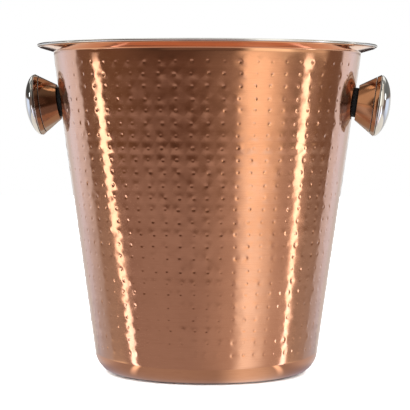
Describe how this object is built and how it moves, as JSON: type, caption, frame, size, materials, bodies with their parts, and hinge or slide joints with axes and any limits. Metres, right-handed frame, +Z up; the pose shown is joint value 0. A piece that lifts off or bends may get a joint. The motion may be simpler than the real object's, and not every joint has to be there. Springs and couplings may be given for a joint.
{
  "type": "ice bucket",
  "caption": "Tapered double-wall ice bucket with a hammered copper outside, steel liner, wide lip and a fixed round knob on each side.",
  "frame": {"origin": "on the bucket's axis, in the plane of the ring that it stands on", "axes": "+Z up along the bucket's axis, X through the two knobs"},
  "size_m": [0.229, 0.2122, 0.205],
  "materials": {
    "copper": "polished copper, hammered on the outer shell",
    "polished_steel": "polished",
    "bright_zinc": "bright zinc plated",
    "black_rubber": "matte black"
  },
  "bodies": {
    "root": {"outer_shell": "copper", "inner_liner": "polished_steel", "left_knob_dome": "polished_steel", "left_knob_bezel": "copper", "left_knob_cone": "copper", "left_gasket": "black_rubber", "left_head_washer": "bright_zinc", "left_bolt": "bright_zinc", "left_seal_washer": "black_rubber", "left_plain_washer": "bright_zinc", "left_spring_washer": "bright_zinc", "left_cap_nut": "bright_zinc", "right_knob_dome": "polished_steel", "right_knob_bezel": "copper", "right_knob_cone": "copper", "right_gasket": "black_rubber", "right_head_washer": "bright_zinc", "right_bolt": "bright_zinc", "right_seal_washer": "black_rubber", "right_plain_washer": "bright_zinc", "right_spring_washer": "bright_zinc", "right_cap_nut": "bright_zinc"}
  },
  "joints": []
}
